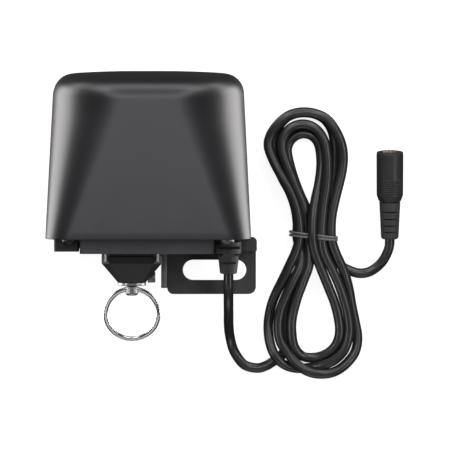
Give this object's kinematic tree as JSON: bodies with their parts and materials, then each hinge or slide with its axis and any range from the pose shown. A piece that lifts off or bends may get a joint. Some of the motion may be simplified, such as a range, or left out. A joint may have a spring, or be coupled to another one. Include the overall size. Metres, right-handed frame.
{
  "type": "motorised valve actuator head",
  "caption": "Square-topped geared motor head that turns a quarter-turn valve, with a clamp coupling, a pull ring that frees it, a slotted bracket and a low-voltage cord.",
  "frame": {"origin": "on the flat back of the cover, at the middle of its width and level with the middle of its height range, where the head rests when it lies on its back", "axes": "+X to the right side of the head, +Y along the output shaft towards the top of the cover, +Z out of the front face, away from the back that the head rests on"},
  "size_m": [0.152, 0.1328, 0.0869],
  "materials": {
    "cover_plastic": "dark grey satin moulded shell, very fine even grain",
    "base_plastic": "near-black moulded plastic, low sheen",
    "gearbox_plastic": "dark grey moulded plastic, satin",
    "black_paint": "satin black coating on folded sheet steel, bare metal at the cut edges",
    "rubber": "soft black moulded rubber",
    "cord_pvc": "black cord jacket, satin with soft highlights",
    "steel": "bright zinc-plated steel",
    "chrome": "polished nickel plating",
    "brass": "turned brass",
    "gear_nylon": "off-white moulded nylon",
    "board": "green solder mask",
    "chip": "black moulded plastic",
    "terminal_green": "green moulded terminal block",
    "capacitor_sleeve": "dark blue shrink sleeve",
    "red_wire": "red wire insulation"
  },
  "bodies": {
    "housing": {"base_plate": "base_plastic", "board_screw_1": "steel", "board_screw_2": "steel", "board_screw_3": "steel", "bracket": "black_paint", "bracket_screw_1": "steel", "bracket_screw_2": "steel", "capacitor": "capacitor_sleeve", "circuit_board": "board", "control_chip": "chip", "cord_gland": "rubber", "cord_hank": "cord_pvc", "cord_lead": "cord_pvc", "cord_tail": "cord_pvc", "cord_tie": "rubber", "cover": "cover_plastic", "cover_gasket": "rubber", "cover_screw_back_left": "steel", "cover_screw_back_right": "steel", "cover_screw_front_left": "steel", "cover_screw_front_right": "steel", "gearbox_housing": "gearbox_plastic", "gearbox_screw_1": "steel", "gearbox_screw_2": "steel", "gearbox_screw_3": "steel", "gearbox_screw_4": "steel", "gearbox_top_plate": "gearbox_plastic", "hall_sensor_closed": "chip", "hall_sensor_open": "chip", "idler_axle": "steel", "jack_body": "chip", "jack_boot": "rubber", "jack_centre_pin": "brass", "jack_sleeve": "steel", "lower_bush": "brass", "motor_can": "steel", "motor_end_cap": "chip", "motor_lead_black": "chip", "motor_lead_red": "red_wire", "power_lead_inner": "cord_pvc", "terminal_block": "terminal_green", "upper_bush": "brass"},
    "output": {"output_gear": "gear_nylon", "output_shaft": "steel", "coupling": "gearbox_plastic", "coupling_set_screw": "steel", "clamp_strip_left": "steel", "clamp_strip_right": "steel", "thrust_washer": "steel", "retaining_clip": "steel", "position_magnet": "steel", "clutch_spring": "steel"},
    "idler": {"idler_gear": "gear_nylon"},
    "rotor": {"motor_pinion": "brass"},
    "pull": {"pull_pin": "steel"},
    "ring": {"split_ring": "chrome"}
  },
  "joints": [
    {"name": "output_turn", "type": "hinge", "parent": "housing", "child": "output", "pos_m": [-0.0071, 0, 0.0434], "axis": [0, 1, 0], "range_deg": [0, 90]},
    {"name": "idler_spin", "type": "hinge", "parent": "housing", "child": "idler", "pos_m": [0.00764, 0, 0.05372], "axis": [0, 1, 0], "range_deg": [-360, 0]},
    {"name": "motor_spin", "type": "hinge", "parent": "housing", "child": "rotor", "pos_m": [0.01484, 0, 0.0662], "axis": [0, 1, 0], "range_deg": [0, 1080]},
    {"name": "clutch_pull", "type": "slide", "parent": "output", "child": "pull", "axis": [0, -1, 0], "range_m": [0, 0.004], "stiffness_N_per_m": 400, "springref_m": -0.005, "deforming": ["clutch_spring"]},
    {"name": "ring_swing", "type": "hinge", "parent": "pull", "child": "ring", "pos_m": [-0.0071, -0.05862, 0.0434], "axis": [1, 0, 0], "range_deg": [-100, 70]}
  ],
  "couplings": [
    {"joint": "idler_spin", "follows": "output_turn", "ratio": -4},
    {"joint": "motor_spin", "follows": "output_turn", "ratio": 12}
  ]
}
